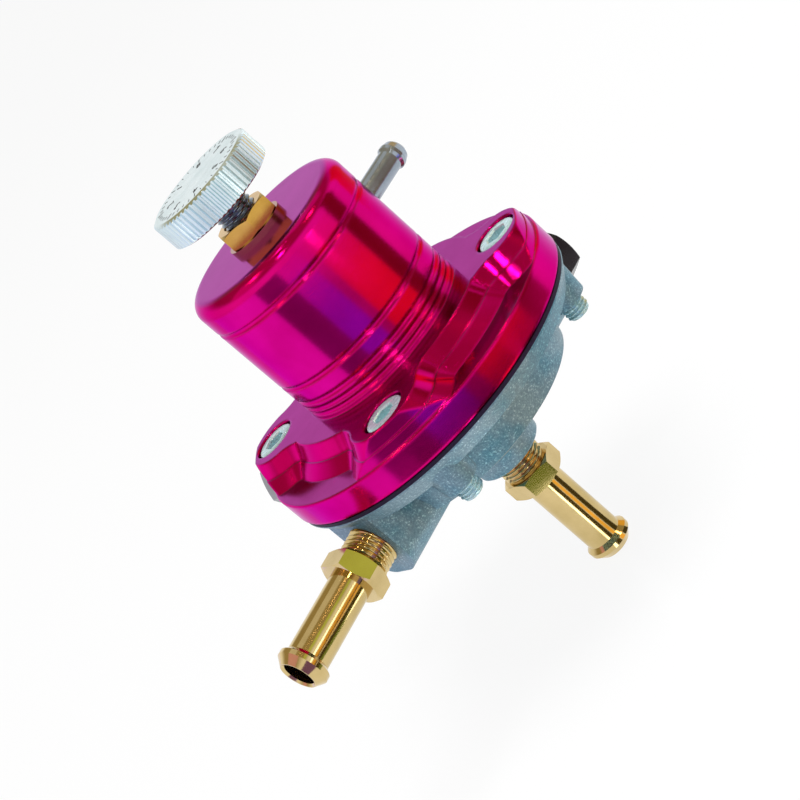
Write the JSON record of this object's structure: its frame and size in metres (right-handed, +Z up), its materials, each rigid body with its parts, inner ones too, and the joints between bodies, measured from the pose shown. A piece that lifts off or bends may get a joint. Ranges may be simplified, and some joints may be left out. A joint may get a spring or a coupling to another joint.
{
  "type": "fuel pressure regulator",
  "caption": "Adjustable fuel pressure regulator with an anodised bonnet, cast base, brass hose tails, a vacuum nipple and a ridged adjusting knob",
  "frame": {"origin": "On the spring axis, in the plane of the undersides of the base's four screw ears", "axes": "+Z up along the spring axis towards the knob, +X towards the vacuum nipple and the side plug, -X towards the inlet tail"},
  "size_m": [0.1037, 0.089, 0.1107],
  "materials": {
    "anodised_magenta": "satin",
    "cast_grey": "satin",
    "brass": "polished",
    "zinc_steel": "satin",
    "dark_steel": "satin",
    "nickel_steel": "polished",
    "spring_steel": "satin",
    "knob_metal": "satin",
    "copper": "satin",
    "black_rubber": "matte"
  },
  "bodies": {
    "housing": {"base": "cast_grey", "bonnet": "anodised_magenta", "diaphragm": "black_rubber", "spring": "spring_steel", "cover_screws": "zinc_steel", "inlet_tail": "brass", "return_tail": "brass", "vacuum_nipple": "nickel_steel", "side_plug": "dark_steel", "gauge_plug": "dark_steel", "valve_seat": "brass", "seat_washer": "copper", "lock_nut": "brass", "seal_washer": "brass", "screw_seal": "black_rubber"},
    "spring_seat": {"spring_button": "zinc_steel", "thrust_ball": "nickel_steel"},
    "adjuster": {"adjuster_screw": "zinc_steel", "knob": "knob_metal"},
    "valve": {"upper_plate": "zinc_steel", "lower_plate": "zinc_steel", "valve_stud": "zinc_steel", "valve_pad": "black_rubber"}
  },
  "joints": [
    {"name": "seat_travel", "type": "slide", "parent": "housing", "child": "spring_seat", "axis": [0, 0, 1], "range_m": [-0.002, 0.002], "deforming": ["spring"]},
    {"name": "knob_turn", "type": "hinge", "parent": "spring_seat", "child": "adjuster", "pos_m": [0, 0, 0.0605], "axis": [0, 0, 1], "range_deg": [-720, 720]},
    {"name": "valve_lift", "type": "slide", "parent": "housing", "child": "valve", "axis": [0, 0, 1], "range_m": [0, 0.0012], "stiffness_N_per_m": 2000, "springref_m": -0.002, "deforming": ["diaphragm", "spring"]}
  ],
  "couplings": [
    {"joint": "knob_turn", "follows": "seat_travel", "rad_per_m": 6283.2}
  ]
}
